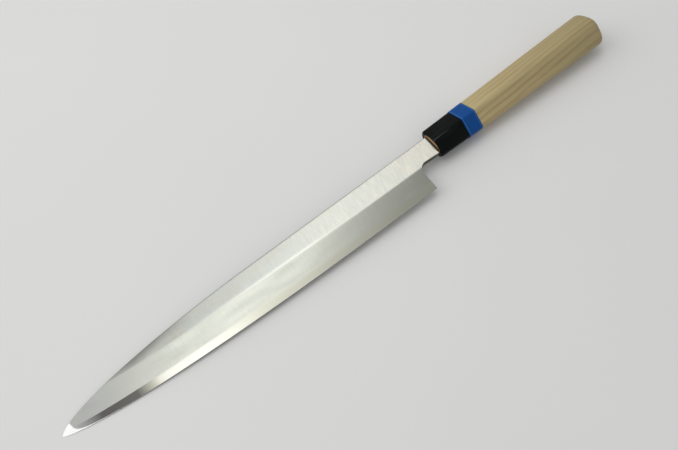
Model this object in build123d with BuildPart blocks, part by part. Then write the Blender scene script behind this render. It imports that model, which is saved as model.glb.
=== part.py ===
from build123d import *
from math import acos, asin, degrees, radians, sqrt, tan
import os

# Yanagiba: a long single-bevel slicing knife with a ridged wooden handle. All sizes are in millimetres.
# X runs along the knife, with the tip at -X. Y points to the spine, and Z out of the bevelled front.
# Sizes along the knife count from the front face of the ferrule, those across it from the handle's axis.

# Blade outline
blade_reach = 273.0  # front of the ferrule to the tip
tip_drop = 8.1  # tip below the axis
edge_drop = 24.3  # edge below the axis, where it is straight
edge_turn = 22.0  # front of the ferrule to where the edge starts to curve
spine_crest = 7.6  # highest point of the spine above the axis
crest_reach = 145.0  # front of the ferrule to that point
spine_at_neck = 6.0  # spine above the axis at the ferrule
edge_tip_share = 0.992  # how far along its quarter ellipse the edge has come at the tip
spine_tip_share = 0.997  # the same for the spine
heel_setback = 16.3  # front of the ferrule to the heel's corner
heel_lean = 0.9  # how much further from the ferrule the heel line starts at the neck
neck_drop = 6.7  # underside of the neck below the axis, where it would meet the heel line
neck_flare = 1.2  # how much lower the underside is at the shoulder
neck_radius = 5.2  # hollow corner between the neck and the heel line

# Blade thickness and bevel
neck_thickness = 4.0
tip_thickness = 0.9  # of the flat, carried on as far as the tip
edge_land = 0.1  # thickness left at the cutting edge
bevel_width = 17.2  # edge to the bevel's upper line
bevel_width_at_heel = 15.4
bevel_widening = 95.0  # length over which the bevel widens from the heel

# Steel lamina and hollow back
steel_at_heel = 1.35  # thickness of the lamina at the heel
steel_at_tip = 0.25
steel_setback = 12.0  # front of the ferrule to the end of the lamina, in the neck
hollow_depth = 0.4
hollow_rim = 1.3  # flat left between the hollow and the outline
hollow_setback = 23.0  # front of the ferrule to the end of the hollow
hollow_tip_gap = 7.0  # end of the hollow to the tip

# Tang
tang_step = 1.2  # front of the ferrule to the shoulder between neck and tang
tang_length = 88.0  # of the tang inside the handle
tang_top = 5.2  # above the axis at the shoulder
tang_bottom = 5.5  # below the axis at the shoulder
tang_thickness = 3.3
tang_end_height = 5.0
tang_end_thickness = 2.2

# Handle and ferrule
handle_length = 138.0  # front of the ferrule to the butt
front_radius = 10.2  # of the tapered round at the front of the ferrule
butt_radius = 12.8  # where the butt's rounding starts
round_lift = 1.8  # middle of the round in front of the blade's middle plane
ridge_height_front = 8.0  # the ridge in front of the axis
ridge_height_butt = 9.5
ridge_offset_front = 1.8  # the ridge below the axis, towards the edge
ridge_offset_butt = 1.6
upper_flank_angle = 26.0  # slope of the flank above the ridge, in degrees
lower_flank_angle = 40.0
flank_round = 2.5  # where the flanks run into the round
butt_round = 2.4
butt_dome = 3.8  # how far the middle of the butt stands out
ferrule_length = 27.0
ferrule_chamfer = 0.8
tenon_height = 14.6
tenon_thickness = 9.8
tenon_fit = 0.1  # clearance between tenon and bore
slot_fit = 0.35  # clearance round the tang in its burnt slot
slot_spare = 1.5  # room past the tang's end

# Label band
band_setback = 21.9  # front of the ferrule to the band
band_width = 10.5
band_thickness = 0.18
band_fit = 0.04  # glue line under the band
band_lap = 8.0  # width over which its ends lap at the back

overrun = 4.0  # how far cutting shapes reach past what they cut

# The pieces are drawn from the front face of the ferrule, on the handle's axis. At the end they move
# together, so that the frame's origin is under the middle of the whole knife.
front_x = (blade_reach - handle_length) / 2
axis_y = (edge_drop - butt_radius) / 2
axis_z = butt_radius - round_lift
place = Location((front_x, axis_y, axis_z))

back_z = -neck_thickness / 2
back = Plane(origin=(0, 0, back_z))
side = Plane.XZ
round_side = Plane(origin=(0, 0, round_lift), x_dir=(1, 0, 0), z_dir=(0, -1, 0))
widest_x = handle_length - butt_round - butt_dome


def station(x):
    """The plane square to the knife at x, with its own axes along Y and Z."""
    return Plane(origin=(x, 0, 0), x_dir=(0, 1, 0), z_dir=(1, 0, 0))


class TipCurve:
    """Part of a quarter ellipse that leaves a straight at start and comes to the tip."""

    def __init__(self, start_x, start_y, tip_share):
        self.start_x = start_x
        self.start_y = start_y
        self.x_radius = (blade_reach + start_x) / tip_share
        self.y_radius = (-tip_drop - start_y) / (1 - sqrt(1 - tip_share**2))
        self.tip_angle = degrees(acos(tip_share))

    def height(self, x):
        """Y of the curve at x, or of its straight before the curve starts."""
        run = min(max(self.start_x - x, 0) / self.x_radius, 1)
        return self.start_y + self.y_radius * (1 - sqrt(1 - run**2))

    def draw(self):
        """The curve itself, on the line that is being drawn."""
        centre = (self.start_x, self.start_y + self.y_radius)
        if self.y_radius > 0:
            start_angle = 180 + self.tip_angle
        else:
            start_angle = 90
        sweep = 90 - self.tip_angle
        EllipticalCenterArc(centre, self.x_radius, abs(self.y_radius), start_angle, arc_size=sweep)


edge_curve = TipCurve(-edge_turn, -edge_drop, edge_tip_share)
spine_curve = TipCurve(-crest_reach, spine_crest, spine_tip_share)


def between(first, last, share):
    return first + (last - first) * share


def blade_thickness(x):
    """Thickness of the flat at x, which thins evenly from the shoulder to the tip."""
    return between(neck_thickness, tip_thickness, (-x - tang_step) / (blade_reach - tang_step))


def bevel_width_at(x):
    """Edge to bevel line at x, narrower at the heel."""
    return between(bevel_width_at_heel, bevel_width, min((-x - heel_setback) / bevel_widening, 1))


def flank_section(x, skin):
    """Section at x of the wedge whose two sides are the handle's flanks and whose top is its ridge."""
    ridge_y = -between(ridge_offset_front, ridge_offset_butt, x / widest_x)
    ridge_z = between(ridge_height_front, ridge_height_butt, x / widest_x) + skin
    reach = butt_radius + overrun
    with BuildSketch(station(x)) as section:
        Polygon(
            (ridge_y, ridge_z),
            (ridge_y + reach, ridge_z - reach * tan(radians(upper_flank_angle))),
            (ridge_y + reach, -reach),
            (ridge_y - reach, -reach),
            (ridge_y - reach, ridge_z - reach * tan(radians(lower_flank_angle))),
            align=None,
        )
    return section.sketch


def handle_stretch(start, end, skin=0):
    """A stretch of the tapered round with its two flanks, or of a skin at that distance round it."""
    with BuildPart() as stretch:
        with BuildSketch(round_side):
            start_radius = between(front_radius, butt_radius, start / widest_x) + skin
            end_radius = between(front_radius, butt_radius, end / widest_x) + skin
            Polygon((start, 0), (start, start_radius), (end, end_radius), (end, 0), align=None)
        revolve(axis=Axis(round_side.origin, round_side.x_dir))
        loft([flank_section(x, skin) for x in (start, end)], mode=Mode.INTERSECT)
        long_edges = stretch.edges().filter_by_position(Axis.X, start, end, inclusive=(False, False))
        fillet(long_edges.sort_by(Axis.Z)[:2], radius=flank_round + skin)
    return stretch.part


# Blade with neck and tang, in one piece before it is parted into iron and steel
with BuildPart() as blade:
    with BuildSketch(back) as outline:
        with BuildLine():
            edge_curve.draw()
            spine_curve.draw()
            Line((-crest_reach, spine_crest), (-tang_step, spine_at_neck))
            Polyline(
                (-edge_turn, -edge_drop),
                (-heel_setback, -edge_drop),
                (-heel_setback - heel_lean, -neck_drop),
                (-tang_step, -neck_drop - neck_flare),
                (-tang_step, -tang_bottom),
                (tang_length, -tang_end_height / 2),
                (tang_length, tang_end_height / 2),
                (-tang_step, tang_top),
                (-tang_step, spine_at_neck),
            )
        make_face()
        neck_corner = (-heel_setback - heel_lean, -neck_drop)
        fillet(outline.vertices().sort_by_distance(neck_corner)[0], radius=neck_radius)
    extrude(amount=neck_thickness)
    with BuildSketch(side):
        Polygon(
            (-blade_reach, back_z),
            (-tang_step, back_z),
            (-tang_step, -tang_thickness / 2),
            (tang_length, -tang_end_thickness / 2),
            (tang_length, tang_end_thickness / 2),
            (-tang_step, tang_thickness / 2),
            (-tang_step, neck_thickness / 2),
            (-blade_reach, back_z + tip_thickness),
            align=None,
        )
    extrude(amount=edge_drop + overrun, both=True, mode=Mode.INTERSECT)

# Wide front bevel, cut from the edge up to the bevel line
bevel_shares = (-0.03, 0.04, 0.12, 0.22, 0.34, 0.46, 0.58, 0.7, 0.8, 0.88, 0.94, 0.98, 1.002)
with BuildPart() as bevel_cutter:
    for share in bevel_shares:
        x = -between(heel_setback, blade_reach, share)
        edge_y = edge_curve.height(x)
        slope = (blade_thickness(x) - edge_land) / bevel_width_at(x)
        far_y = spine_crest + overrun
        low_z = back_z + edge_land - slope * overrun
        far_z = back_z + edge_land + slope * (far_y - edge_y)
        with BuildSketch(station(x)):
            Polygon(
                (edge_y - overrun, low_z),
                (far_y, far_z),
                (far_y, far_z + overrun),
                (edge_y - overrun, far_z + overrun),
                align=None,
            )
    loft()

with BuildPart() as ground_blade:
    add(blade.part)
    add(bevel_cutter.part, mode=Mode.SUBTRACT)

# Zone of the steel lamina, a thin wedge along the whole back
with BuildPart() as steel_zone:
    with BuildSketch(side):
        steel_slope = (steel_at_heel - steel_at_tip) / (blade_reach - heel_setback)
        Polygon(
            (-steel_setback, back_z - overrun),
            (-steel_setback, back_z + steel_at_heel + steel_slope * (heel_setback - steel_setback)),
            (-blade_reach - overrun, back_z + steel_at_tip - steel_slope * overrun),
            (-blade_reach - overrun, back_z - overrun),
            align=None,
        )
    extrude(amount=edge_drop + overrun, both=True)

# Hollow of the back: shallow arcs between the two flat rims
hollow_shares = (0.0, 0.02, 0.06, 0.15, 0.3, 0.5, 0.7, 0.85, 0.95, 1.0)
hollow_depth_shares = (0.1, 0.35, 0.7, 0.95, 1.0, 1.0, 0.85, 0.55, 0.3, 0.08)
hollow_width_shares = (0.6, 0.84, 0.96, 1.0, 1.0, 1.0, 1.0, 1.0, 0.9, 0.45)
with BuildPart() as hollow_cutter:
    for share, depth_share, width_share in zip(hollow_shares, hollow_depth_shares, hollow_width_shares):
        x = -between(hollow_setback, blade_reach - hollow_tip_gap, share)
        low_y = edge_curve.height(x) + hollow_rim
        high_y = spine_curve.height(x) - hollow_rim
        middle_y = (low_y + high_y) / 2
        half_width = (high_y - low_y) / 2 * width_share
        left = (middle_y - half_width, back_z)
        right = (middle_y + half_width, back_z)
        with BuildSketch(station(x)):
            with BuildLine():
                ThreePointArc(left, (middle_y, back_z + hollow_depth * depth_share), right)
                Polyline(right, (right[0], back_z - overrun), (left[0], back_z - overrun), left)
            make_face()
    loft()

with BuildPart() as blade_cladding:
    add(ground_blade.part)
    add(steel_zone.part, mode=Mode.SUBTRACT)

with BuildPart() as edge_steel:
    add(ground_blade.part)
    add(steel_zone.part, mode=Mode.INTERSECT)
    add(hollow_cutter.part, mode=Mode.SUBTRACT)

# Handle with its tenon and burnt slot
with BuildPart() as handle:
    add(handle_stretch(ferrule_length, widest_x))
    extrude(handle.faces().sort_by(Axis.X)[-1], amount=handle_length - widest_x)
    with BuildSketch(round_side):
        dome_depth = butt_radius + overrun
        dome_radius = (butt_radius**2 + butt_dome**2) / (2 * butt_dome)
        dome_angle = degrees(asin(dome_depth / dome_radius))
        with BuildLine():
            dome = CenterArc((handle_length - dome_radius, 0), dome_radius, 0, -dome_angle)
            Polyline(dome @ 1, (0, -dome_depth), (0, 0), dome @ 0)
        make_face()
    revolve(axis=Axis(round_side.origin, round_side.x_dir), mode=Mode.INTERSECT)
    butt_face = handle.faces().sort_by(Axis.X)[-1]
    fillet(butt_face.edges().filter_by(GeomType.CIRCLE, reverse=True), radius=butt_round)
    with BuildSketch(station(0)):
        SlotOverall(tenon_height, tenon_thickness)
    extrude(amount=ferrule_length)
    slot_end = tang_length + slot_spare
    with BuildSketch(station(-tenon_fit)):
        with Locations(((tang_top - tang_bottom) / 2, 0)):
            Rectangle(tang_top + tang_bottom + 2 * slot_fit, tang_thickness + 2 * slot_fit)
    with BuildSketch(station(slot_end)):
        Rectangle(tang_end_height + 2 * slot_fit, tang_end_thickness + 2 * slot_fit)
    loft(mode=Mode.SUBTRACT)

# Ferrule with its chamfered front and the bore for the tenon
with BuildPart() as ferrule:
    add(handle_stretch(0, ferrule_length))
    chamfer(ferrule.faces().sort_by(Axis.X)[0].edges(), length=ferrule_chamfer)
    with BuildSketch(station(0)):
        SlotOverall(tenon_height + 2 * tenon_fit, tenon_thickness + 2 * tenon_fit)
    extrude(amount=ferrule_length, mode=Mode.SUBTRACT)


def band_layer(inner, outer):
    """A ring round ferrule and handle between two distances from their surface."""
    with BuildPart() as ring:
        add(handle_stretch(band_setback, band_setback + band_width, outer))
        add(handle_stretch(band_setback, band_setback + band_width, inner), mode=Mode.SUBTRACT)
    return ring.part


# Label band with its lapped end, a second layer along the middle of the back
with BuildPart() as lap:
    add(band_layer(band_fit + band_thickness, band_fit + 2 * band_thickness))
    with BuildSketch(station(band_setback)):
        with Locations((0, -butt_radius)):
            Rectangle(band_lap, 2 * butt_radius)
    extrude(amount=band_width, mode=Mode.INTERSECT)

with BuildPart() as label_band:
    add(band_layer(band_fit, band_fit + band_thickness))
    add(lap.part)

pieces = {
    "blade_cladding": blade_cladding,
    "edge_steel": edge_steel,
    "handle": handle,
    "ferrule": ferrule,
    "label_band": label_band,
}
os.makedirs("parts", exist_ok=True)
for name, piece in pieces.items():
    placed = place * piece.part
    placed.label = name
    export_step(placed, f"parts/{name}.step")
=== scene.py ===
from math import atan2, cos, hypot, pi, radians, sin, sqrt

import bmesh
import bpy
from mathutils import Matrix, Vector


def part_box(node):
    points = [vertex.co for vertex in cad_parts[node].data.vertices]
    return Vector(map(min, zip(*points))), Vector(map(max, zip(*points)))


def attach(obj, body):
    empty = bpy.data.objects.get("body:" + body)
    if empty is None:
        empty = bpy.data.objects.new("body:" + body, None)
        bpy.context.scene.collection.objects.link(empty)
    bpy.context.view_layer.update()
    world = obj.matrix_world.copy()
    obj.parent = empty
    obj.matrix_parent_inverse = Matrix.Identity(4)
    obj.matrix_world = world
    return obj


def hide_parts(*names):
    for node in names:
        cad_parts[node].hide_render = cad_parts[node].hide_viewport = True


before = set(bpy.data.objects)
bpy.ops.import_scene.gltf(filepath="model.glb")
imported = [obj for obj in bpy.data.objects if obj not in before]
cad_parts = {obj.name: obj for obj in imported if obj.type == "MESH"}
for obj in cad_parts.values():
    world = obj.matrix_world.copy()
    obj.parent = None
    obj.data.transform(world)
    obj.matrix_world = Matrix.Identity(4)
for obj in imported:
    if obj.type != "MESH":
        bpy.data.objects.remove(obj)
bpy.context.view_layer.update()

bl_info = {
    "name": "Yanagiba knife",
    "version": (1, 0, 0),
    "blender": (4, 5, 0),
    "location": "View3D > Sidebar > Knife",
    "description": "Grinds the blade and finishes the handle of a long single-bevel slicing knife",
    "category": "Add Mesh",
}

MM = 0.001
THINNEST = 0.003 * MM  # iron or steel thinner than this is ground away, so that no sliver is meshed

# The knife's own axes start at the front face of the ferrule, on the handle's axis.
FERRULE_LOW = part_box("ferrule")[0]
STEEL_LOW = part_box("edge_steel")[0]
BAND_LOW, BAND_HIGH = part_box("label_band")

# The tang below and above the axis and half its thickness at the shoulder, then half its height and
# thickness at its end, inside the handle.
TANG_BOTTOM, TANG_TOP, TANG_HALF = 5.5 * MM, 5.2 * MM, 1.65 * MM
TANG_END_REACH, TANG_END_HALF = 2.5 * MM, 1.1 * MM

# Middle of each lamp, and its length and width, in metres
LAMPS = {
    "flat_softbox": ((0.20, 0.40, 0.90), (0.66, 0.34)),
    "bevel_softbox": ((-0.12, 0.12, 0.92), (0.52, 0.32)),
    "side_softbox": ((-1.70, 1.30, 1.35), (2.20, 2.20)),
}
LAMP_TARGET = Vector((0, 0, 0.01))

# The knife lies on its tip and its band, so the floor leans to meet both.
FLOOR_SIZE = 5
FLOOR_LEAN = radians(1.41)
FLOOR_PLACE = (0.0885, 0, 0.00170)

CAMERA_PLACE = (-0.07979, -0.15406, 0.38566)
CAMERA_TURN = (radians(23.589), radians(5.821), radians(-37.408))


def size(name, description, millimetres):
    """A length, which Blender keeps in metres."""
    return bpy.props.FloatProperty(
        name=name, description=description, default=millimetres * MM, unit="LENGTH")


def tint(name, description, default):
    """A colour, in linear light."""
    return bpy.props.FloatVectorProperty(
        name=name, description=description, default=default, subtype="COLOR")


class BladeSizes(bpy.types.PropertyGroup):
    """Sizes of the blade, in metres."""

    reach: size("Reach", "Ferrule to the tip", 273)
    edge_drop: size("Edge drop", "Straight part of the edge below the axis", 24.3)
    tip_drop: size("Tip drop", "Tip below the axis", 8.1)
    edge_turn: size("Edge turn", "Ferrule to where the edge starts to curve", 22)
    spine_crest: size("Spine crest", "Highest point of the spine above the axis", 7.6)
    crest_reach: size("Crest reach", "Ferrule to the spine's highest point", 145)
    spine_at_neck: size("Spine at the neck", "Spine above the axis at the ferrule", 6)
    heel_setback: size("Heel setback", "Ferrule to the heel's corner", 16.3)
    heel_lean: size("Heel lean", "How much the heel line leans back", 0.9)
    neck_drop: size("Neck drop", "Underside of the neck below the axis, at the heel line", 6.7)
    neck_flare: size("Neck flare", "How much lower the underside is at the shoulder", 1.2)
    neck_radius: size("Neck radius", "Hollow corner between neck and heel", 5.2)
    thickness: size("Thickness", "At the neck", 4)
    tip_thickness: size("Tip thickness", "Of the flat, carried on to the tip", 0.9)
    land: size("Land", "Thickness left at the cutting edge", 0.1)
    bevel_width: size("Bevel width", "Edge to the bevel line", 17.2)
    bevel_width_at_heel: size("Bevel width at the heel", "The same at the heel", 15.4)
    bevel_widening: size("Bevel widening", "Length over which the bevel widens", 95)
    line_rounding: size("Line rounding", "Half the width of the rounded bevel line", 0.7)
    spine_easing: size("Spine easing", "Rounding of the spine's front corner", 0.45)
    steel_at_heel: size("Steel at the heel", "Thickness of the steel at the heel", 1.35)
    steel_at_tip: size("Steel at the tip", "The same at the tip", 0.25)
    steel_setback: size("Steel setback", "Ferrule to the end of the steel", 12)
    hollow_depth: size("Hollow depth", "Depth of the hollow back", 0.4)
    hollow_rim: size("Hollow rim", "Flat rim round the hollow", 1.3)
    hollow_setback: size("Hollow setback", "Ferrule to the end of the hollow", 23)
    hollow_tip_gap: size("Hollow tip gap", "End of the hollow to the tip", 7)
    tang_step: size("Tang step", "Ferrule to the shoulder", 1.2)
    tang_length: size("Tang length", "Tang inside the handle", 88)


class HandleSizes(bpy.types.PropertyGroup):
    """Sizes of the handle, the ferrule and the band, in metres."""

    length: size("Length", "Ferrule front to the butt", 138)
    front_radius: size("Front radius", "Of the tapered round at the front", 10.2)
    butt_radius: size("Butt radius", "Of the tapered round at the butt", 12.8)
    lift: size("Lift", "Middle of the round in front of the blade's middle", 1.8)
    ridge_front: size("Ridge at the front", "The ridge in front of the axis", 7.95)
    ridge_butt: size("Ridge at the butt", "The same at the butt", 8.6)
    ridge_offset: size("Ridge offset", "The ridge below the axis", 1.7)
    upper_flank: bpy.props.FloatProperty(
        name="Upper flank", description="Slope of the flank above the ridge", default=radians(26),
        subtype="ANGLE")
    lower_flank: bpy.props.FloatProperty(
        name="Lower flank", description="Slope of the flank below the ridge", default=radians(40),
        subtype="ANGLE")
    butt_round: size("Butt rounding", "Rounding round the butt", 3.5)
    butt_dome: size("Butt dome", "How far the butt's middle stands out", 3.8)
    ferrule_length: size("Ferrule length", "Along the handle", 27)
    ferrule_chamfer: size("Ferrule chamfer", "Round the ferrule's front", 0.9)
    tenon_height: size("Tenon height", "Of the wood inside the ferrule", 14.6)
    tenon_thickness: size("Tenon thickness", "Of the wood inside the ferrule", 9.8)
    slot_fit: size("Slot fit", "Clearance round the tang", 0.35)
    band_skin: size("Band thickness", "Of the label band, with its glue", 0.2)
    band_lap: size("Band lap", "Width over which its ends lap", 8)


class FinishColours(bpy.types.PropertyGroup):
    """Colours of the finishes."""

    flat_steel: tint("Flat", "Satin flat above the bevel", (0.505, 0.515, 0.47))
    bevel_iron: tint("Bevel", "Hazy iron of the bevel", (0.435, 0.445, 0.395))
    edge_band: tint("Edge band", "Polished steel along the edge", (0.445, 0.45, 0.38))
    wood: tint("Wood", "Pale wood of the handle", (0.46, 0.38, 0.19))
    horn: tint("Ferrule", "Black of the ferrule", (0.0035, 0.0045, 0.0045))
    band: tint("Band", "Blue of the label band", (0.004, 0.060, 0.245))


class StudioSettings(bpy.types.PropertyGroup):
    """The floor, the lamps and the camera."""

    floor_colour: tint("Floor", "Colour of the floor", (0.80, 0.80, 0.79))
    room_light: bpy.props.FloatProperty(
        name="Room light", description="Strength of the light from all round", default=0.47)
    flat_light: bpy.props.FloatProperty(
        name="Flat light", description="Radiance of the long lamp that the flat reflects", default=1.6)
    bevel_light: bpy.props.FloatProperty(
        name="Bevel light", description="Radiance of the lamp that the bevel reflects", default=2.05)
    side_light: bpy.props.FloatProperty(
        name="Side light", description="Radiance of the large lamp at the tip's side", default=1.6)
    focal_length: bpy.props.FloatProperty(
        name="Focal length", description="Of the camera, in millimetres", default=36.365)


def between(first, last, share):
    return first + (last - first) * share


def ramp_between(pairs, value):
    """The value of a broken line through (place, value) pairs."""
    for (x0, y0), (x1, y1) in zip(pairs, pairs[1:]):
        if value <= x1:
            return between(y0, y1, max(value - x0, 0) / (x1 - x0))
    return pairs[-1][1]


# How wide and deep the hollow is along the blade, as shares of its full width and depth
HOLLOW_WIDTHS = ((0, 0.6), (0.02, 0.84), (0.06, 0.96), (0.15, 1.0), (0.85, 1.0), (0.95, 0.9), (1.0, 0.45))
HOLLOW_DEPTHS = ((0, 0.0), (0.02, 0.35), (0.06, 0.7), (0.15, 0.95), (0.3, 1.0), (0.5, 1.0), (0.7, 0.85),
                 (0.85, 0.55), (0.95, 0.3), (1.0, 0.0))

# How far the edge and the spine are along their quarter ellipses at the tip
EDGE_TIP_SHARE, SPINE_TIP_SHARE = 0.992, 0.997


class Blade:
    """Where the surfaces of the blade are, from its sizes."""

    def __init__(self, sizes):
        self.s = sizes
        self.back = -sizes.thickness / 2
        # Middle of the hollow corner, moved until it touches the heel line and the underside of the neck.
        # slant is how much that falls along X, and stretch its length for each step along X.
        slant, stretch = 0.075, 1.003
        self.corner_y = -sizes.neck_drop - sizes.neck_radius
        for _ in range(8):
            self.corner_x = self.heel_x(self.corner_y) + sizes.neck_radius
            self.corner_y = self.neck_y(self.corner_x) - sizes.neck_radius * stretch
        self.neck_x = self.corner_x - sizes.neck_radius * slant

    def tip_curve(self, start_x, start_y, tip_share, x):
        """A straight, then from start_x a quarter ellipse that meets the tip at tip_share of its run."""
        x_radius = (self.s.reach + start_x) / tip_share
        y_radius = (-self.s.tip_drop - start_y) / (1 - sqrt(1 - tip_share**2))
        run = min(max(start_x - x, 0) / x_radius, tip_share)
        return start_y + y_radius * (1 - sqrt(1 - run**2))

    def edge_y(self, x):
        return self.tip_curve(-self.s.edge_turn, -self.s.edge_drop, EDGE_TIP_SHARE, x)

    def spine_y(self, x):
        if x > -self.s.crest_reach:
            return between(self.s.spine_crest, self.s.spine_at_neck,
                           (x + self.s.crest_reach) / (self.s.crest_reach - self.s.tang_step))
        return self.tip_curve(-self.s.crest_reach, self.s.spine_crest, SPINE_TIP_SHARE, x)

    def flat_thickness(self, x):
        share = (-x - self.s.tang_step) / (self.s.reach - self.s.tang_step)
        return between(self.s.thickness, self.s.tip_thickness, share)

    def bevel_width(self, x):
        share = min(max((-x - self.s.heel_setback) / self.s.bevel_widening, 0), 1)
        return between(self.s.bevel_width_at_heel, self.s.bevel_width, share)

    def slope(self, x):
        return (self.flat_thickness(x) - self.s.land) / self.bevel_width(x)

    def steel_thickness(self, x):
        share = (-x - self.s.heel_setback) / (self.s.reach - self.s.heel_setback)
        return between(self.s.steel_at_heel, self.s.steel_at_tip, share)

    def line_y(self, x):
        """The bevel line, or the spine where the bevel has reached it."""
        return min(self.edge_y(x) + self.bevel_width(x), self.spine_y(x))

    def steel_y(self, x):
        """The line where the steel shows from under the iron on the bevel."""
        reach = (self.steel_thickness(x) - self.s.land) / self.slope(x)
        return min(self.edge_y(x) + reach, self.spine_y(x))

    def front(self, x, y):
        """Height of the bevelled front above the axis, with its rounded bevel line and eased spine."""
        rounding = self.s.line_rounding
        past_line = y - self.edge_y(x) - self.bevel_width(x)
        slope = self.slope(x)
        height = self.flat_thickness(x)
        if past_line < -rounding:
            height += slope * past_line
        elif past_line < rounding:
            height -= slope * (rounding - past_line) ** 2 / (4 * rounding)
        easing, fade_width, easing_depth = self.s.spine_easing, 3 * MM, 0.7
        into_easing = max(easing - (self.spine_y(x) - y), 0) / easing
        fading = min(max((self.spine_y(x) - self.line_y(x)) / fade_width, 0), 1)
        return self.back + height - easing * easing_depth * fading * into_easing**2

    def steel_top(self, x, y):
        """The joint between steel and iron, or the front where the iron is ground away."""
        joint, front = self.back + self.steel_thickness(x), self.front(x, y)
        return joint if front - joint > THINNEST else front

    def hollow_share(self, x):
        """How far x is along the hollow, 0 at the heel's side and 1 at the tip's."""
        length = self.s.reach - self.s.hollow_tip_gap - self.s.hollow_setback
        return (-x - self.s.hollow_setback) / length

    def hollow_sides(self, x):
        """Y of the hollow's lower and upper side."""
        width = ramp_between(HOLLOW_WIDTHS, self.hollow_share(x))
        low, high = self.edge_y(x) + self.s.hollow_rim, self.spine_y(x) - self.s.hollow_rim
        middle, half = (low + high) / 2, (high - low) / 2 * width
        return middle - half, middle + half

    def hollow(self, x, y):
        """Height of the back, with its hollow."""
        share = self.hollow_share(x)
        low, high = self.hollow_sides(x)
        if share <= 0 or share >= 1 or high <= low:
            return self.back
        middle, half = (low + high) / 2, (high - low) / 2
        depth = self.s.hollow_depth * ramp_between(HOLLOW_DEPTHS, share)
        return self.back + depth * max(1 - ((y - middle) / half) ** 2, 0)

    def heel_x(self, y):
        """The leaning line at the heel."""
        share = (y + self.s.edge_drop) / (self.s.edge_drop - self.s.neck_drop)
        return -self.s.heel_setback - self.s.heel_lean * share

    def neck_y(self, x):
        """The underside of the neck."""
        run = self.s.heel_setback + self.s.heel_lean - self.s.tang_step
        return -self.s.neck_drop - self.s.neck_flare * (x + self.s.heel_setback + self.s.heel_lean) / run

    def blade_end(self, y):
        """The blade's end at the heel, with its hollow corner into the neck."""
        if y >= self.neck_y(self.neck_x):
            return self.neck_x
        if y > self.corner_y:
            return self.corner_x - sqrt(max(self.s.neck_radius**2 - (y - self.corner_y) ** 2, 0))
        return self.heel_x(y)


# Rows of the blade's grid: shares across the steel, the bevel and the rounding of its line, rows of the
# flat in millimetres above the axis at GRID_START, and shares across the easing of the spine
BAND_SHARES = (0, 0.06, 0.25, 0.5, 0.75)
BEVEL_SHARES = (0, 0.1, 0.25, 0.4, 0.55, 0.7, 0.85)
LINE_SHARES = (-1, -0.5, 0, 0.5, 1)
FLAT_ROWS = (-7.9, -7.7, -7.5, -7.35, -7.22, -7.16, -7.14, -5, -3, -1, 1, 3, 5)
EASING_SHARES = (1, 0.7, 0.4, 0.15, 0)
NECK_LOW_ROW = FLAT_ROWS.index(-7.14)  # this row becomes the underside of the neck
GRID_START = -21 * MM  # the columns run from here to the tip, and others from here to the heel
HEEL_SHARES = (0.3, 0.6, 0.8, 0.93, 1)


def blade_rows(blade, x):
    """Y of the grid's rows at x, from the edge to the spine."""
    edge, steel, line, spine = blade.edge_y(x), blade.steel_y(x), blade.line_y(x), blade.spine_y(x)
    rounding, easing = blade.s.line_rounding, blade.s.spine_easing
    low_line = max(line - rounding, steel)
    rows = [between(edge, steel, share) for share in BAND_SHARES]
    rows += [between(steel, low_line, share) for share in BEVEL_SHARES]
    rows += [min(max(line + rounding * share, steel), spine) for share in LINE_SHARES]
    flat_low = blade.line_y(GRID_START) + rounding
    flat_high = blade.spine_y(GRID_START) - easing
    for row in FLAT_ROWS:
        share = (row * MM - flat_low) / (flat_high - flat_low)
        rows.append(min(between(min(line + rounding, spine), spine - easing, share), spine))
    rows += [spine - easing * share for share in EASING_SHARES]
    for i in range(1, len(rows)):
        rows[i] = min(max(rows[i], rows[i - 1]), spine)
    return rows


def back_rows(blade, x, count):
    """The same number of rows for the back, laid along the hollow's sides."""
    low, high = blade.hollow_sides(x)
    spine = blade.spine_y(x)
    edge = blade.edge_y(x)
    if high <= low:
        return [between(edge, spine, i / (count - 1)) for i in range(count)]
    inner = [between(low, high, i / (count - 3)) for i in range(count - 2)]
    return [edge] + inner + [spine]


def blade_columns(blade):
    """X of the grid's columns from the heel to the tip, closer together at both ends."""
    widest, narrowest, first = 4 * MM, 0.25 * MM, 1 * MM
    columns = []
    x = GRID_START
    while x > -blade.s.reach + 0.2 * MM:
        columns.append(x)
        left = blade.s.reach + x
        x -= min(widest, max(narrowest, left * 0.09), first + (GRID_START - x) * 0.4)
    return columns + [-blade.s.reach]


def to_piece(mesh, name):
    """A new object in the scene from a finished bmesh."""
    data = bpy.data.meshes.new(name)
    mesh.to_mesh(data)
    mesh.free()
    piece = bpy.data.objects.new(name, data)
    bpy.context.scene.collection.objects.link(piece)
    return piece


FLAT_KIND, BEVEL_KIND, SIDE_KIND, BACK_KIND = range(4)  # material numbers of iron and steel


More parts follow.
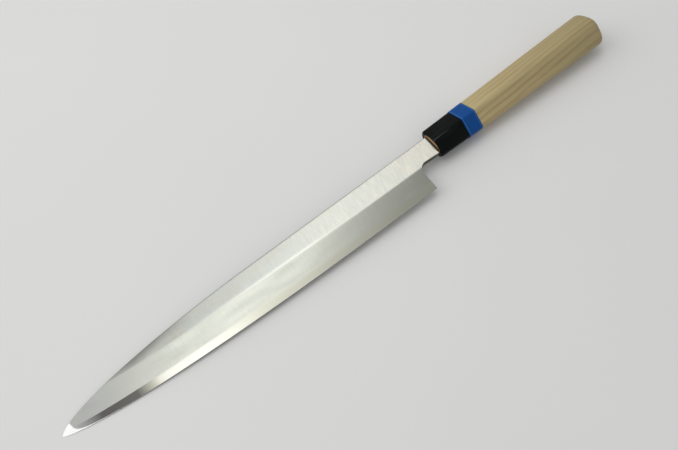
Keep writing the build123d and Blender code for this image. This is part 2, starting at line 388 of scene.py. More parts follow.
class Plate:
    """A closed mesh between an upper and a lower sheet that share one grid."""

    def __init__(self):
        self.upper = []
        self.lower = []
        self.cells = []

    def add(self, upper, lower):
        self.upper.append(upper)
        self.lower.append(lower)
        return len(self.upper) - 1

    def grid(self, rows):
        """Cells between neighbouring rows of point numbers."""
        for row, following in zip(rows, rows[1:]):
            for j in range(len(row) - 1):
                self.cells.append((row[j], row[j + 1], following[j + 1], following[j]))

    def build(self, name, upper_kind):
        """The object. upper_kind gives the material number of an upper cell from its middle."""
        mesh = bmesh.new()
        ups = [mesh.verts.new(p) for p in self.upper]
        downs = [mesh.verts.new(p) for p in self.lower]
        sides = {}
        for cell in self.cells:
            if all(self.upper[i][2] - self.lower[i][2] < THINNEST for i in cell):
                continue
            face = mesh.faces.new([ups[i] for i in cell])
            face.smooth = True
            face.material_index = upper_kind(face.calc_center_median())
            under = mesh.faces.new([downs[i] for i in reversed(cell)])
            under.smooth = True
            under.material_index = BACK_KIND
            for a, b in zip(cell, cell[1:] + cell[:1]):
                if sides.pop((b, a), None) is None:
                    sides[(a, b)] = True
        for a, b in sides:
            face = mesh.faces.new((ups[b], ups[a], downs[a], downs[b]))
            face.smooth = True
            face.material_index = SIDE_KIND
        bmesh.ops.remove_doubles(mesh, verts=mesh.verts, dist=THINNEST / 10)
        bmesh.ops.dissolve_degenerate(mesh, edges=mesh.edges, dist=THINNEST / 10)
        bmesh.ops.delete(mesh, geom=[e for e in mesh.edges if not e.link_faces], context="EDGES")
        bmesh.ops.delete(mesh, geom=[v for v in mesh.verts if not v.link_faces], context="VERTS")
        return to_piece(mesh, name)


def lay_grid(plate, blade, first_row, neck_columns, top, bottom, separate_back):
    """Points and cells of the blade from first_row up to the spine, and along the neck.

    top and bottom give the heights of the two sheets. The back of the steel has rows of its own.
    """
    start_rows = blade_rows(blade, GRID_START)
    count = len(start_rows)

    def point(x, y, back_y=None):
        low_y = y if back_y is None else back_y
        return plate.add((x, y, top(x, y)), (x, low_y, bottom(x, low_y)))

    lines = []
    blend_length = 3 * MM
    for x in blade_columns(blade):
        rows = blade_rows(blade, x)
        if separate_back:
            blend = min(max((GRID_START - x) / blend_length, 0), 1)
            backs = [between(a, b, blend) for a, b in zip(rows, back_rows(blade, x, count))]
            lines.append([point(x, y, b) for y, b in zip(rows, backs)])
        else:
            lines.append([point(x, y) for y in rows[first_row:]])
    plate.grid(lines)

    heel_lines = [lines[0]]
    for share in HEEL_SHARES:
        line = []
        for y in start_rows[first_row:]:
            x = between(GRID_START, blade.blade_end(y), share)
            line.append(point(x, min(y, blade.spine_y(x)) if y > 0 else y))
        heel_lines.append(line)
    plate.grid([list(reversed(line)) for line in heel_lines])

    neck_start = count - len(FLAT_ROWS) - len(EASING_SHARES) + NECK_LOW_ROW - first_row
    neck_lines = [heel_lines[-1][neck_start:]]
    for x in neck_columns:
        line = []
        for y in start_rows[first_row + neck_start:]:
            if not line:
                y = blade.neck_y(x)
            elif y > 0:
                y = blade.spine_y(x) - (start_rows[-1] - y)
            line.append(point(x, y))
        neck_lines.append(line)
    plate.grid([list(reversed(line)) for line in neck_lines])


def own_origin():
    """Where the knife's own axes start, in the frame."""
    sizes = bpy.context.scene.knife_blade
    return Vector((FERRULE_LOW.x, STEEL_LOW.y + sizes.edge_drop, STEEL_LOW.z + sizes.thickness / 2))


def set_place(piece):
    """Moves a piece from the knife's own axes into the frame."""
    piece.data.transform(Matrix.Translation(own_origin()))


def add_grind_maps(piece, blade):
    """Maps that follow the edge and the bevel line, for the grinding marks."""
    for name, line in (("from_edge", blade.edge_y), ("from_line", blade.line_y)):
        layer = piece.data.uv_layers.new(name=name)
        for loop in piece.data.loops:
            x, y, _ = piece.data.vertices[loop.vertex_index].co
            layer.data[loop.index].uv = (x, y - line(x))


class Finish:
    """A material being put together from nodes."""

    def __init__(self, name):
        self.material = bpy.data.materials.new(name)
        self.material.use_nodes = True
        self.tree = self.material.node_tree
        self.shader = self.tree.nodes["Principled BSDF"]

    def node(self, kind, links=(), **settings):
        made = self.tree.nodes.new(kind)
        for key, value in settings.items():
            setattr(made, key, value)
        for socket, value in dict(links).items():
            self.feed(made.inputs[socket], value)
        return made

    def feed(self, socket, value):
        if isinstance(value, bpy.types.NodeSocket):
            self.tree.links.new(value, socket)
        else:
            socket.default_value = value

    def set(self, **values):
        for key, value in values.items():
            self.feed(self.shader.inputs[key.replace("_", " ")], value)

    def place(self):
        return self.node("ShaderNodeTexCoord").outputs["Object"]

    def map(self, name):
        return self.node("ShaderNodeUVMap", uv_map=name).outputs["UV"]

    def noise(self, vector, scales, offset=(0, 0, 0), detail=3.0, roughness=0.5):
        """Noise with as many waves to the metre along each axis as scales says."""
        place = self.node("ShaderNodeMapping", {"Vector": vector, "Scale": scales, "Location": offset})
        return self.node("ShaderNodeTexNoise", {
            "Vector": place.outputs[0], "Scale": 1.0, "Detail": detail,
            "Roughness": roughness}).outputs["Fac"]

    def ramp(self, value, *stops):
        made = self.node("ShaderNodeValToRGB", {"Fac": value})
        elements = made.color_ramp.elements
        while len(elements) < len(stops):
            elements.new(0.5)
        for element, (position, colour) in zip(elements, stops):
            element.position = position
            if isinstance(colour, (int, float)):
                colour = (colour, colour, colour)
            element.color = (*colour, 1)
        return made.outputs["Color"]

    def span(self, value, low, high, to_low=0.0, to_high=1.0):
        return self.node("ShaderNodeMapRange", {
            "Value": value, "From Min": low, "From Max": high, "To Min": to_low,
            "To Max": to_high}).outputs["Result"]

    def fade(self, value, low, high, to_low=0.0, to_high=1.0):
        """A span whose two ends are in millimetres. Along the blade they count from the ferrule."""
        return self.span(value, low * MM, high * MM, to_low, to_high)

    def sum(self, operation, first, second=0.0):
        made = self.node("ShaderNodeMath", operation=operation)
        self.feed(made.inputs[0], first)
        self.feed(made.inputs[1], second)
        return made.outputs[0]

    def plus(self, first, second):
        return self.sum("ADD", first, second)

    def minus(self, first, second):
        return self.sum("SUBTRACT", first, second)

    def times(self, first, second):
        return self.sum("MULTIPLY", first, second)

    def off(self, value, middle):
        """How far value is from middle, on either side."""
        return self.sum("ABSOLUTE", self.minus(value, middle))

    def mix(self, share, first, second, blend="MIX"):
        made = self.node("ShaderNodeMix", data_type="RGBA", blend_type=blend)
        self.feed(made.inputs["Factor"], share)
        for socket, value in ((made.inputs[6], first), (made.inputs[7], second)):
            self.feed(socket, value if isinstance(value, bpy.types.NodeSocket) else (*value[:3], 1))
        return made.outputs[2]

    def split(self, vector):
        made = self.node("ShaderNodeSeparateXYZ", {"Vector": vector})
        return made.outputs[0], made.outputs[1], made.outputs[2]

    def bump(self, height, strength, distance):
        return self.node("ShaderNodeBump", {
            "Height": height, "Strength": strength, "Distance": distance}).outputs["Normal"]


def scaled(colour, factor):
    return tuple(min(c * factor, 1) for c in colour)


# Near-white colour of the painted highlight at the tip
TIP_HIGHLIGHT_WHITE = (0.92, 0.92, 0.91)


def painted_tip_highlight(made, x, y):
    """Share of the painted highlight at the tip, whose border runs out along the edge."""
    border_reach, spread, offset = 267.3 * MM, 0.0055 * MM, 0.15 * MM
    border = made.minus(made.sum("DIVIDE", spread, made.plus(y, offset)), border_reach)
    return made.fade(made.minus(x, border), 0.5, -0.5)


def flat_finish(colours):
    """Satin flat with fine scratches across the blade, painted shade towards the tip and at its end, and
    a painted highlight along the bevel line.
    """
    made = Finish("flat_satin")
    grind = made.map("from_line")
    x, y, _ = made.split(grind)
    # The last of these greys is the colour of the painted shade at the tip end
    warm_grey, cool_grey, painted_shade_grey = (0.70, 0.56, 0.39), (0.46, 0.51, 0.51), (0.205, 0.205, 0.185)
    # Pale colour of the painted highlight along the bevel line
    pale_line = (0.67, 0.68, 0.63)
    slant, counter = (made.node("ShaderNodeCombineXYZ", {
        "X": made.plus(x, made.times(y, lean)), "Y": y}).outputs[0] for lean in (-0.16, 0.34))
    strokes = made.noise(slant, (1500, 110, 1), detail=4, roughness=0.66)
    hatch = made.noise(counter, (1900, 120, 1), detail=3, roughness=0.6)
    scratches = made.noise(slant, (4200, 150, 1), detail=4, roughness=0.6)
    tints = made.noise(slant, (700, 70, 1), (0.7, 0.3, 0), detail=2)
    clouds = made.noise(grind, (22, 60, 1), detail=3)
    low = made.fade(x, -120, -20, 0.96, 0.88)
    high = made.fade(x, -120, -20, 1.04, 1.10)
    tone = made.span(strokes, 0.34, 0.66, low, high)
    tone = made.times(tone, made.span(hatch, 0.35, 0.65, 0.96, 1.04))
    # Painted shade: the flat is darker from here towards the tip
    tone = made.times(tone, made.fade(x, -80, -120, 1, 0.87))
    colour = made.mix(1.0, colours.flat_steel, tone, "MULTIPLY")
    colour = made.mix(made.span(scratches, 0.35, 0.65, 0, 0.25), colour, scaled(colours.flat_steel, 0.84))
    warmth = made.times(made.span(tints, 0.45, 0.65), made.fade(x, -40, -14, 0.10, 0.36))
    colour = made.mix(warmth, colour, warm_grey)
    cool = made.times(made.span(clouds, 0.4, 0.7), made.fade(x, -95, -125, 0.0, 0.45))
    colour = made.mix(cool, colour, cool_grey)
    # Painted shade at the tip end, darkest towards the spine, standing in for a dark reflection
    lift = made.plus(y, made.fade(x, -200, -220, 0, 4.5 * MM))
    painted_shade = made.times(made.fade(x, -178, -204), made.fade(lift, 3, 7.5, 0.12, 1))
    colour = made.mix(made.times(painted_shade, 0.9), colour, painted_shade_grey)
    # Painted highlight along the bevel line, in the middle of the blade
    painted_line_highlight = made.times(made.fade(y, 0.6, 2.2, 1, 0), made.fade(x, -80, -100))
    painted_line_highlight = made.times(painted_line_highlight, made.fade(x, -150, -190, 1, 0))
    colour = made.mix(made.times(painted_line_highlight, 0.5), colour, pale_line)
    made.set(Base_Color=colour, Metallic=1.0, Roughness=made.span(scratches, 0.3, 0.7, 0.30, 0.40),
             Normal=made.bump(strokes, 0.22, 0.04 * MM))
    return made.material


def bevel_finish(colours):
    """Hazy iron of the bevel, with soft grinding marks across it, darker at the heel and the tip, and a
    painted highlight at the tip.
    """
    made = Finish("bevel_haze")
    heel_grey, tip_grey = (0.30, 0.325, 0.27), (0.385, 0.39, 0.375)
    grind = made.map("from_edge")
    x, y, _ = made.split(grind)
    marks = made.noise(grind, (2600, 110, 1), detail=4, roughness=0.6)
    haze = made.noise(grind, (35, 150, 1), detail=4, roughness=0.55)
    colour = made.mix(made.span(marks, 0.35, 0.65), scaled(colours.bevel_iron, 0.94),
                      scaled(colours.bevel_iron, 1.05))
    colour = made.mix(made.span(haze, 0.35, 0.7, 0, 0.25), colour, scaled(colours.bevel_iron, 0.86))
    colour = made.mix(made.fade(x, -30, -14, 0, 0.4), colour, heel_grey)
    colour = made.mix(made.fade(x, -195, -250, 0, 0.8), colour, tip_grey)
    # Painted highlight at the tip
    colour = made.mix(painted_tip_highlight(made, x, y), colour, TIP_HIGHLIGHT_WHITE)
    made.set(Base_Color=colour, Metallic=1.0, Roughness=made.span(haze, 0.3, 0.7, 0.29, 0.36),
             Normal=made.bump(marks, 0.22, 0.02 * MM))
    return made.material


def band_finish(colours):
    """Polished steel band along the edge, with fine lines along it, a painted highlight along a stretch
    of it, a painted dark reflection before the tip and a painted highlight at the tip.
    """
    made = Finish("edge_polish")
    # The last of these greys is the colour of a painted highlight on the band
    straw, dull_grey, band_highlight_grey = (0.48, 0.46, 0.34), (0.37, 0.37, 0.31), (0.57, 0.565, 0.51)
    # The second of these colours is that of the painted dark reflection before the tip
    tip_grey, dark_reflection_black = (0.385, 0.39, 0.385), (0.09, 0.086, 0.08)
    grind = made.map("from_edge")
    x, y, _ = made.split(grind)
    lines = made.noise(grind, (26, 1900, 1), detail=3, roughness=0.6)
    tints = made.noise(grind, (30, 700, 1), (0.4, 0.2, 0), detail=2)
    colour = made.mix(made.span(lines, 0.2, 0.8), scaled(colours.edge_band, 0.97),
                      scaled(colours.edge_band, 1.03))
    colour = made.mix(made.span(tints, 0.4, 0.8, 0, 0.3), colour, straw)
    dull = made.times(made.fade(x, -62, -95), made.fade(x, -128, -165, 1, 0))
    colour = made.mix(dull, colour, dull_grey)
    # Painted highlight: a paler stretch of the band before the tip
    painted_highlight_stretch = made.times(made.fade(x, -145, -182), made.fade(x, -208, -218, 1, 0))
    colour = made.mix(painted_highlight_stretch, colour, band_highlight_grey)
    colour = made.mix(made.fade(y, 3.4, 5.6, 0, 0.7), colour, colours.bevel_iron)
    colour = made.mix(made.fade(x, -228, -245), colour, tip_grey)
    # Painted dark reflection on the band before the tip
    painted_dark_reflection = made.times(made.fade(x, -213, -227), made.fade(x, -249, -264, 1, 0))
    colour = made.mix(made.times(painted_dark_reflection, 0.96), colour, dark_reflection_black)
    # Painted highlight at the tip
    colour = made.mix(painted_tip_highlight(made, x, y), colour, TIP_HIGHLIGHT_WHITE)
    made.set(Base_Color=colour, Metallic=1.0, Roughness=made.span(tints, 0.3, 0.7, 0.28, 0.30))
    return made.material


def side_finish():
    """Darker ground sides of heel, neck and spine."""
    made = Finish("ground_side")
    place = made.place()
    marks = made.noise(place, (700, 700, 3000), detail=4)
    dark, pale = (0.08, 0.09, 0.075), (0.16, 0.17, 0.15)
    colour = made.ramp(marks, (0.35, dark), (0.65, pale))
    made.set(Base_Color=colour, Metallic=1.0, Roughness=made.span(marks, 0.3, 0.7, 0.35, 0.5),
             Normal=made.bump(marks, 0.3, 0.02 * MM))
    return made.material


def back_finish():
    """Fine ground hollow with marks along the blade, and the brighter flat rim, honed on a stone."""
    made = Finish("ground_back")
    ground_tints = (0.46, 0.46, 0.435), (0.60, 0.60, 0.57)
    honed_tints = (0.68, 0.68, 0.65), (0.78, 0.78, 0.75)
    grind = made.map("from_edge")
    _, _, z = made.split(made.place())
    marks = made.noise(grind, (50, 2400, 1), detail=4, roughness=0.6)
    hones = made.noise(grind, (1400, 160, 1), detail=3, roughness=0.6)
    rim = made.span(z, STEEL_LOW.z + 0.004 * MM, STEEL_LOW.z + 0.02 * MM, 1, 0)
    ground = made.mix(made.span(marks, 0.3, 0.7), *ground_tints)
    honed = made.mix(made.span(hones, 0.35, 0.65), *honed_tints)
    rough = made.mix(rim, made.span(marks, 0.3, 0.7, 0.27, 0.38), made.span(hones, 0.3, 0.7, 0.16, 0.22))
    made.set(Base_Color=made.mix(rim, ground, honed), Metallic=1.0, Roughness=rough,
             Normal=made.bump(marks, 0.08, 0.02 * MM))
    return made.material


def wood_finish(colours):
    """Pale straight-grained wood, with its end grain, the burnt rim of the tang's slot and painted shade
    towards the butt.
    """
    made = Finish("pale_wood")
    place = made.place()
    x, y, z = made.split(place)
    axis = own_origin()
    butt = axis.x + bpy.context.scene.knife_handle.length
    pith_drop, pith_lift, rings_per_metre = 80 * MM, 4 * MM, 330.0
    slot_reach, slot_half = 5.7 * MM, 2.0 * MM
    light_tan, pore_brown = (0.50, 0.375, 0.21), (0.30, 0.19, 0.09)
    end_brown, burnt = (0.42, 0.25, 0.11), (0.035, 0.010, 0.006)
    bend = made.noise(place, (7, 38, 38), detail=3, roughness=0.45)
    faintness = made.noise(place, (14, 120, 120), (0.3, 0.1, 0.6), detail=2)
    from_pith = made.node("ShaderNodeCombineXYZ", {
        "X": 0.0, "Y": made.plus(y, pith_drop), "Z": made.minus(z, pith_lift)}).outputs[0]
    distance = made.node("ShaderNodeVectorMath", {"Vector": from_pith}, operation="LENGTH")
    wavy = made.plus(distance.outputs["Value"], made.span(x, axis.x, butt, 0.0, -4.2 * MM))
    wavy = made.plus(wavy, made.span(bend, 0.2, 0.8, -3.4 * MM, 3.4 * MM))
    rings = made.sum("FRACT", made.times(wavy, rings_per_metre))
    ring_tone = made.ramp(
        rings, (0.0, 0.12), (0.30, 0.0), (0.62, 0.40), (0.80, 1.0), (0.90, 0.45), (1.0, 0.12))
    ring_tone = made.times(ring_tone, made.span(faintness, 0.34, 0.62, 0.12, 1.0))
    tints = made.noise(place, (12, 70, 70), (0.5, 0.9, 0.2), detail=2)
    fibres = made.noise(place, (16, 620, 620), detail=5, roughness=0.62)
    pores = made.noise(place, (60, 2200, 2200), detail=2, roughness=0.5)
    pore_share = made.ramp(pores, (0.58, 0.0), (0.68, 1.0))
    late_wood = tuple(c * share for c, share in zip(colours.wood, (0.66, 0.53, 0.46)))
    colour = made.mix(made.span(fibres, 0.32, 0.68), scaled(colours.wood, 0.90),
                      scaled(colours.wood, 1.06))
    colour = made.mix(made.span(tints, 0.45, 0.65, 0, 0.5), colour, light_tan)
    colour = made.mix(made.times(ring_tone, 0.75), colour, late_wood)
    # Painted shade: the wood darkens from near the ferrule towards the butt
    colour = made.mix(1.0, colour, made.span(x, axis.x + 30 * MM, butt, 1.08, 0.80), "MULTIPLY")
    colour = made.mix(made.times(pore_share, 0.22), colour, pore_brown)
    end_share = made.span(x, axis.x + 0.4 * MM, axis.x + 0.9 * MM, 1, 0)
    colour = made.mix(end_share, colour, end_brown)
    past_y = made.minus(made.off(y, axis.y), slot_reach)
    past_z = made.minus(made.off(z, axis.z), slot_half)
    burn = made.fade(made.sum("MAXIMUM", past_y, past_z), 0.5, 0.9, 1, 0)
    colour = made.mix(made.times(end_share, burn), colour, burnt)
    relief = made.minus(fibres, made.times(pore_share, 0.6))
    made.set(Base_Color=colour, Roughness=made.span(fibres, 0.3, 0.7, 0.50, 0.62),
             Specular_IOR_Level=0.35, Normal=made.bump(relief, 0.35, 0.06 * MM))
    return made.material


def horn_finish(colours):
    """Smooth black ferrule with faint streaks and fine scuffs, and a painted highlight along the front of
    its ridge.
    """
    made = Finish("black_horn")
    ridge_drop, ridge_highlight_grey = 1.8 * MM, (0.09, 0.10, 0.10)
    place = made.place()
    streaks = made.noise(place, (60, 500, 500), detail=4)
    scuffs = made.noise(place, (900, 2400, 2400), detail=3)
    colour = made.mix(made.span(streaks, 0.45, 0.75, 0, 1), colours.horn, scaled(colours.horn, 2.4))
    x, y, z = made.split(place)
    off_ridge = made.off(y, own_origin().y - ridge_drop)
    # Painted highlight along the front part of the ridge
    ridge_highlight = made.times(made.fade(off_ridge, 0.10, 0.36, 1, 0),
                      made.span(x, FERRULE_LOW.x + 1.5 * MM, FERRULE_LOW.x + 14 * MM, 1, 0))
    ridge_highlight = made.times(ridge_highlight, made.fade(z, 14, 16))
    colour = made.mix(made.times(ridge_highlight, 0.6), colour, ridge_highlight_grey)
    made.set(Base_Color=colour, Roughness=made.span(scuffs, 0.3, 0.7, 0.26, 0.36),
             Specular_IOR_Level=0.07, Normal=made.bump(scuffs, 0.08, 0.02 * MM))
    return made.material


def paper_finish(colours):
    """Blue printed band with a thin pale line inside each edge."""
    made = Finish("blue_band")
    place = made.place()
    x, _, _ = made.split(place)
    middle = (BAND_LOW.x + BAND_HIGH.x) / 2
    half = (BAND_HIGH.x - BAND_LOW.x) / 2
    across = made.sum("DIVIDE", made.off(x, middle), half)
    lines = made.ramp(
        across, (0.0, 0.0), (0.80, 0.0), (0.825, 1.0), (0.865, 1.0), (0.89, 0.0), (1.0, 0.0))
    ink = made.noise(place, (900, 900, 900), detail=4)
    thin_ink = tuple(c * share for c, share in zip(colours.band, (1.6, 1.25, 1.15)))
    pale_line = (0.10, 0.30, 0.55)
    colour = made.mix(made.span(ink, 0.35, 0.7), colours.band, thin_ink)
    colour = made.mix(made.times(lines, 0.42), colour, pale_line)
    made.set(Base_Color=colour, Roughness=made.span(ink, 0.3, 0.7, 0.28, 0.38), Specular_IOR_Level=0.12,
             Normal=made.bump(ink, 0.1, 0.03 * MM))
    return made.material


def floor_finish(settings):
    """Plain pale floor with a very faint mottle."""
    made = Finish("floor_paper")
    mottle = made.noise(made.place(), (6, 6, 6), detail=2)
    pale = settings.floor_colour
    colour = made.mix(made.span(mottle, 0.3, 0.7), pale, scaled(pale, 0.985))
    made.set(Base_Color=colour, Roughness=0.9, Specular_IOR_Level=0.2)
    return made.material


SIDES = 144  # points round the handle
BUTT_STEPS = 8  # rings over the butt's rounding, and over its dome

# How sharply the two flanks meet at the ridge, and how sharply they meet the round, along the handle
RIDGE_CRISPNESS = ((0, 34), (0.2, 20), (0.35, 11), (0.6, 5.5), (1, 3.6))
FLANK_FIRMNESS = ((0, 30), (0.24, 20), (1, 8))

NEARLY_NOTHING = 1e-9  # keeps divisions finite


class Handle:
    """The outline of the handle's section, a tapered round with two flanks that meet at the ridge."""

    def __init__(self, sizes):
        self.s = sizes
        drop = sizes.butt_dome
        self.dome_radius = (sizes.butt_radius**2 + drop**2) / (2 * drop)
        inner = sizes.butt_radius - sizes.butt_round
        reach = sqrt((self.dome_radius - sizes.butt_round) ** 2 - inner**2)
        self.round_x = sizes.length - self.dome_radius + reach
        self.round_turn = atan2(reach, inner)
        ridge_turn = atan2(sizes.ridge_front, -sizes.ridge_offset)
        self.turns = [ridge_turn + 2 * pi * i / SIDES for i in range(SIDES)]

    def ring(self, x, reach_at, middle_y=0.0):
        """Points round the axis at x, each as far out as reach_at gives for its direction."""
        points = []
        for turn in self.turns:
            y, z = cos(turn), sin(turn)
            reach = reach_at(y, z)
            points.append((x, middle_y + y * reach, z * reach))
        return points

    def section(self, x, skin=0.0, share=1.0):
        """Points round the handle at x, at a distance from its surface or shrunk to a share of it."""
        s = self.s
        along = min(x / self.round_x, 1)
        radius = between(s.front_radius, s.butt_radius, along)
        crispness = ramp_between(RIDGE_CRISPNESS, along)
        firmness = ramp_between(FLANK_FIRMNESS, along)
        ridge_z = between(s.ridge_front, s.ridge_butt, along) * 2 ** (1 / crispness)

        def reach_at(y, z):
            depth = radius - s.lift if z < 0 else radius + s.lift
            upper = max(y * sin(s.upper_flank) + z * cos(s.upper_flank), 0)
            upper /= -s.ridge_offset * sin(s.upper_flank) + ridge_z * cos(s.upper_flank)
            lower = max(-y * sin(s.lower_flank) + z * cos(s.lower_flank), 0)
            lower /= s.ridge_offset * sin(s.lower_flank) + ridge_z * cos(s.lower_flank)
            bent = hypot(y / radius, z / depth)
            flank = (upper**crispness + lower**crispness) ** (1 / crispness)
            reach = (bent**firmness + flank**firmness) ** (-1 / firmness)
            return (reach + skin) * share

        return self.ring(x, reach_at)

    def butt_sections(self):
        """Sections over the butt's rounding and its dome."""
        s = self.s
        rings = []
        inner = s.butt_radius - s.butt_round

        def shrunk(x, share):
            return [(x, y, z) for _, y, z in self.section(self.round_x, 0, share)]

        for i in range(1, BUTT_STEPS + 1):
            turn = self.round_turn * i / BUTT_STEPS
            share = (inner + s.butt_round * cos(turn)) / s.butt_radius
            rings.append(shrunk(self.round_x + s.butt_round * sin(turn), share))
        end_turn = pi / 2 - self.round_turn
        for i in range(BUTT_STEPS - 1, 0, -1):
            turn = end_turn * i / BUTT_STEPS
            share = self.dome_radius * sin(turn) / s.butt_radius
            rings.append(shrunk(s.length - self.dome_radius * (1 - cos(turn)), share))
        return rings

    def oval(self, x, height, thickness):
        """A long oval with straight sides, the section of tenon and bore."""
        radius = thickness / 2
        straight = (height - thickness) / 2

        def reach_at(y, z):
            reach = radius / max(abs(z), NEARLY_NOTHING)
            if reach * abs(y) > straight:
                across = straight * abs(y)
                reach = across + sqrt(max(across**2 - straight**2 + radius**2, 0))
            return reach

        return self.ring(x, reach_at)

    def oblong(self, x, half_height, half_thickness, middle_y=0.0):
        """A rectangle, the section of the tang's slot."""
        def reach_at(y, z):
            return min(half_height / max(abs(y), NEARLY_NOTHING),
                       half_thickness / max(abs(z), NEARLY_NOTHING))

        return self.ring(x, reach_at, middle_y)


def skin_rings(name, rings, closed):
    """A mesh through rings of points, joined end to end or with both ends filled."""
    mesh = bmesh.new()
    made = [[mesh.verts.new(p) for p in ring] for ring in rings]
    pairs = list(zip(made, made[1:]))
    if closed:
        pairs.append((made[-1], made[0]))
    for ring, following in pairs:
        for i in range(len(ring)):
            j = (i + 1) % len(ring)
            mesh.faces.new((ring[i], ring[j], following[j], following[i]))
    if not closed:
        for ring in (made[0], made[-1]):
            middle = mesh.verts.new(sum((v.co for v in ring), Vector()) / len(ring))
            for i in range(len(ring)):
                mesh.faces.new((ring[i], ring[(i + 1) % len(ring)], middle))
    for face in mesh.faces:
        face.smooth = True
    bmesh.ops.recalc_face_normals(mesh, faces=mesh.faces)
    return to_piece(mesh, name)


def hand_in(piece, material, node):
    """Finishes a piece of the handle, sets it in its place and lets it stand for its solid."""
    piece.data.materials.append(material)
    piece.data.set_sharp_from_angle(angle=radians(32))
    set_place(piece)
    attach(piece, "root")
    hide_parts(node)


class KNIFE_OT_blade(bpy.types.Operator):
    """Grind the blade: the iron with its flat and bevel, and the steel with its hollow back"""

    bl_idname = "knife.blade"
    bl_label = "Blade"

    def execute(self, context):
        sizes = context.scene.knife_blade
        colours = context.scene.knife_colours
        blade = Blade(sizes)
        flat, bevel = flat_finish(colours), bevel_finish(colours)
        band, side, back = band_finish(colours), side_finish(), back_finish()

        steel_end = -sizes.steel_setback

        def joint(x, y):
            return blade.steel_top(x, y) if x <= steel_end else blade.back

        neck_columns = [steel_end + step * MM for step in (0, 0.02, 4, 8)] + [-sizes.tang_step]
        iron = Plate()
        lay_grid(iron, blade, len(BAND_SHARES), neck_columns, blade.front, joint, False)
        iron = iron.build("blade_iron", lambda c: FLAT_KIND if c.y > blade.line_y(c.x) else BEVEL_KIND)
        steel = Plate()
        lay_grid(steel, blade, 0, [steel_end], blade.steel_top, blade.hollow, True)
        steel = steel.build("blade_steel", lambda c: BEVEL_KIND)
        self.add_tang(iron, sizes)
        for piece, front, sharp in ((iron, bevel, 24), (steel, band, 2)):
            for material in (flat, front, side, back):
                piece.data.materials.append(material)
            add_grind_maps(piece, blade)
            set_place(piece)
            piece.data.set_sharp_from_angle(angle=radians(sharp))
            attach(piece, "root")
        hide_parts("blade_cladding")
        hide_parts("edge_steel")
        return {"FINISHED"}

    def add_tang(self, iron, sizes):
        """The tapered tang, which starts inside the neck."""
        mesh = bmesh.new()
        mesh.from_mesh(iron.data)
        inside_neck = 0.5 * MM
        sections = ((-sizes.tang_step - inside_neck, -TANG_BOTTOM, TANG_TOP, TANG_HALF),
                    (-sizes.tang_step, -TANG_BOTTOM, TANG_TOP, TANG_HALF),
                    (sizes.tang_length, -TANG_END_REACH, TANG_END_REACH, TANG_END_HALF))
        rings = [[mesh.verts.new((x, low, -half)), mesh.verts.new((x, high, -half)),
                  mesh.verts.new((x, high, half)), mesh.verts.new((x, low, half))]
                 for x, low, high, half in sections]
        faces = [mesh.faces.new(rings[0]), mesh.faces.new(list(reversed(rings[-1])))]
        for ring, following in zip(rings, rings[1:]):
            for i in range(4):
                j = (i + 1) % 4
                faces.append(mesh.faces.new((ring[j], ring[i], following[i], following[j])))
        for face in faces:
            face.material_index = SIDE_KIND
        bmesh.ops.recalc_face_normals(mesh, faces=faces)
        mesh.to_mesh(iron.data)
        mesh.free()


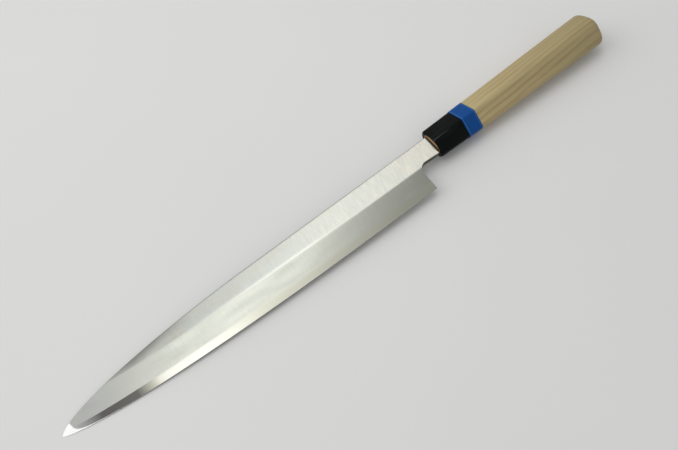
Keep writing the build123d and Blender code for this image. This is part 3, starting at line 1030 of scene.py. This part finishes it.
class KNIFE_OT_handle(bpy.types.Operator):
    """Finish the wooden handle, the black ferrule and the label band"""

    bl_idname = "knife.handle"
    bl_label = "Handle"

    def execute(self, context):
        sizes = context.scene.knife_handle
        colours = context.scene.knife_colours
        shape = Handle(sizes)
        self.make_wood(shape, sizes, colours)
        self.make_ferrule(shape, sizes, colours)
        self.make_band(shape, sizes, colours)
        return {"FINISHED"}

    def make_wood(self, shape, s, colours):
        """The wood in one closed skin, from the end of its slot out over the tenon to the butt."""
        slot_end = bpy.context.scene.knife_blade.tang_length + 1.5 * MM
        fit = s.slot_fit
        middle_y, half_height = (TANG_TOP - TANG_BOTTOM) / 2, (TANG_TOP + TANG_BOTTOM) / 2
        easing, mouth = 0.15 * MM, 0.25 * MM  # of the tenon's corners, and how deep the slot widens
        rings = [shape.oblong(slot_end, TANG_END_REACH + fit, TANG_END_HALF + fit),
                 shape.oblong(mouth, half_height + fit, TANG_HALF + fit, middle_y),
                 shape.oblong(0, half_height + easing + fit, TANG_HALF + easing + fit, middle_y),
                 shape.oval(0, s.tenon_height - 2 * easing, s.tenon_thickness - 2 * easing),
                 shape.oval(easing, s.tenon_height, s.tenon_thickness),
                 shape.oval(s.ferrule_length, s.tenon_height, s.tenon_thickness),
                 shape.section(s.ferrule_length)]
        steps = 30
        for i in range(1, steps + 1):
            rings.append(shape.section(between(s.ferrule_length, shape.round_x, i / steps)))
        rings += shape.butt_sections()
        hand_in(skin_rings("handle_wood", rings, False), wood_finish(colours), "handle")

    def make_ferrule(self, shape, s, colours):
        """The ferrule in one closed skin, from its bore out over the rounded chamfer to its back."""
        chamfer = s.ferrule_chamfer
        gap, mouth = 0.2 * MM, 0.2 * MM  # between tenon and bore, and how deep the bore widens
        rings = [shape.oval(s.ferrule_length, s.tenon_height + gap, s.tenon_thickness + gap),
                 shape.oval(mouth, s.tenon_height + gap, s.tenon_thickness + gap),
                 shape.oval(0, s.tenon_height + 2 * gap, s.tenon_thickness + 2 * gap)]
        profile = ((0, 1), (0.06, 0.8), (0.45, 0.38), (0.85, 0.06), (1.15, 0))
        for along, inward in profile:
            rings.append(shape.section(chamfer * along, -chamfer * inward))
        steps = 8
        for i in range(1, steps + 1):
            rings.append(shape.section(between(chamfer * 1.15, s.ferrule_length, i / steps)))
        hand_in(skin_rings("ferrule_horn", rings, True), horn_finish(colours), "ferrule")

    def make_band(self, shape, s, colours):
        """The band in one closed skin, with a second layer where its ends lap at the back."""
        start, end = BAND_LOW.x - FERRULE_LOW.x, BAND_HIGH.x - FERRULE_LOW.x
        inner, outer = 0.04 * MM, s.band_skin + 0.02 * MM

        def layer(x, skin):
            plain, lapped = shape.section(x, skin), shape.section(x, skin + s.band_skin)
            return [b if b[2] < 0 and abs(b[1]) < s.band_lap / 2 else a for a, b in zip(plain, lapped)]

        edge, steps = 0.05 * MM, 5
        rings = [shape.section(end, inner), shape.section(start, inner), layer(start, outer - edge),
                 layer(start + edge, outer)]
        for i in range(1, steps + 1):
            rings.append(layer(between(start + edge, end - edge, i / steps), outer))
        rings.append(layer(end, outer - edge))
        hand_in(skin_rings("band_paper", rings, True), paper_finish(colours), "label_band")


class KNIFE_OT_studio(bpy.types.Operator):
    """Lay the floor and set up the lamps and the camera"""

    bl_idname = "knife.studio"
    bl_label = "Studio"

    def execute(self, context):
        settings = context.scene.knife_studio
        bpy.ops.mesh.primitive_plane_add(size=FLOOR_SIZE)
        floor = context.active_object
        floor.name = "floor"
        floor.data.materials.append(floor_finish(settings))
        floor.rotation_euler.y = FLOOR_LEAN
        floor.location = FLOOR_PLACE
        self.lamp("flat_softbox", settings.flat_light)
        self.lamp("bevel_softbox", settings.bevel_light)
        self.lamp("side_softbox", settings.side_light)
        world = bpy.data.worlds.new("room")
        world.use_nodes = True
        background = world.node_tree.nodes["Background"]
        background.inputs["Color"].default_value = (1.0, 1.0, 1.0, 1)
        background.inputs["Strength"].default_value = settings.room_light
        context.scene.world = world
        context.scene.view_settings.view_transform = "Standard"
        data = bpy.data.cameras.new("camera")
        data.sensor_width = 36
        data.lens = settings.focal_length
        camera = bpy.data.objects.new("camera", data)
        camera.location = CAMERA_PLACE
        camera.rotation_euler = CAMERA_TURN
        data.clip_start = 0.01
        context.scene.collection.objects.link(camera)
        context.scene.camera = camera
        return {"FINISHED"}

    def lamp(self, name, radiance):
        """A soft rectangular lamp that faces the knife, with its long side along the knife."""
        place, (length, width) = LAMPS[name]
        data = bpy.data.lights.new(name, "AREA")
        data.shape = "RECTANGLE"
        data.size, data.size_y = length, width
        data.energy = radiance * pi * length * width
        lamp = bpy.data.objects.new(name, data)
        away = (Vector(place) - LAMP_TARGET).normalized()
        side = Vector((0, 1, 0)).cross(away).normalized()
        turn = Matrix((side, away.cross(side), away)).transposed().to_4x4()
        lamp.matrix_world = Matrix.Translation(place) @ turn
        bpy.context.scene.collection.objects.link(lamp)


class KNIFE_PT_panel(bpy.types.Panel):
    """The knife's pieces in the sidebar"""

    bl_label = "Yanagiba knife"
    bl_space_type = "VIEW_3D"
    bl_region_type = "UI"
    bl_category = "Knife"

    def draw(self, context):
        column = self.layout.column()
        for operator in (KNIFE_OT_blade, KNIFE_OT_handle, KNIFE_OT_studio):
            column.operator(operator.bl_idname)
        scene = context.scene
        for group in (scene.knife_colours, scene.knife_studio, scene.knife_blade, scene.knife_handle):
            for name in group.bl_rna.properties.keys():
                if name not in ("rna_type", "name"):
                    column.prop(group, name)


CLASSES = (BladeSizes, HandleSizes, FinishColours, StudioSettings,
           KNIFE_OT_blade, KNIFE_OT_handle, KNIFE_OT_studio, KNIFE_PT_panel)


def register():
    for kind in CLASSES:
        bpy.utils.register_class(kind)
    bpy.types.Scene.knife_blade = bpy.props.PointerProperty(type=BladeSizes)
    bpy.types.Scene.knife_handle = bpy.props.PointerProperty(type=HandleSizes)
    bpy.types.Scene.knife_colours = bpy.props.PointerProperty(type=FinishColours)
    bpy.types.Scene.knife_studio = bpy.props.PointerProperty(type=StudioSettings)


def unregister():
    del bpy.types.Scene.knife_blade
    del bpy.types.Scene.knife_handle
    del bpy.types.Scene.knife_colours
    del bpy.types.Scene.knife_studio
    for kind in reversed(CLASSES):
        bpy.utils.unregister_class(kind)


def main():
    register()
    bpy.ops.knife.blade()
    bpy.ops.knife.handle()
    bpy.ops.knife.studio()


if __name__ == "__main__":
    main()
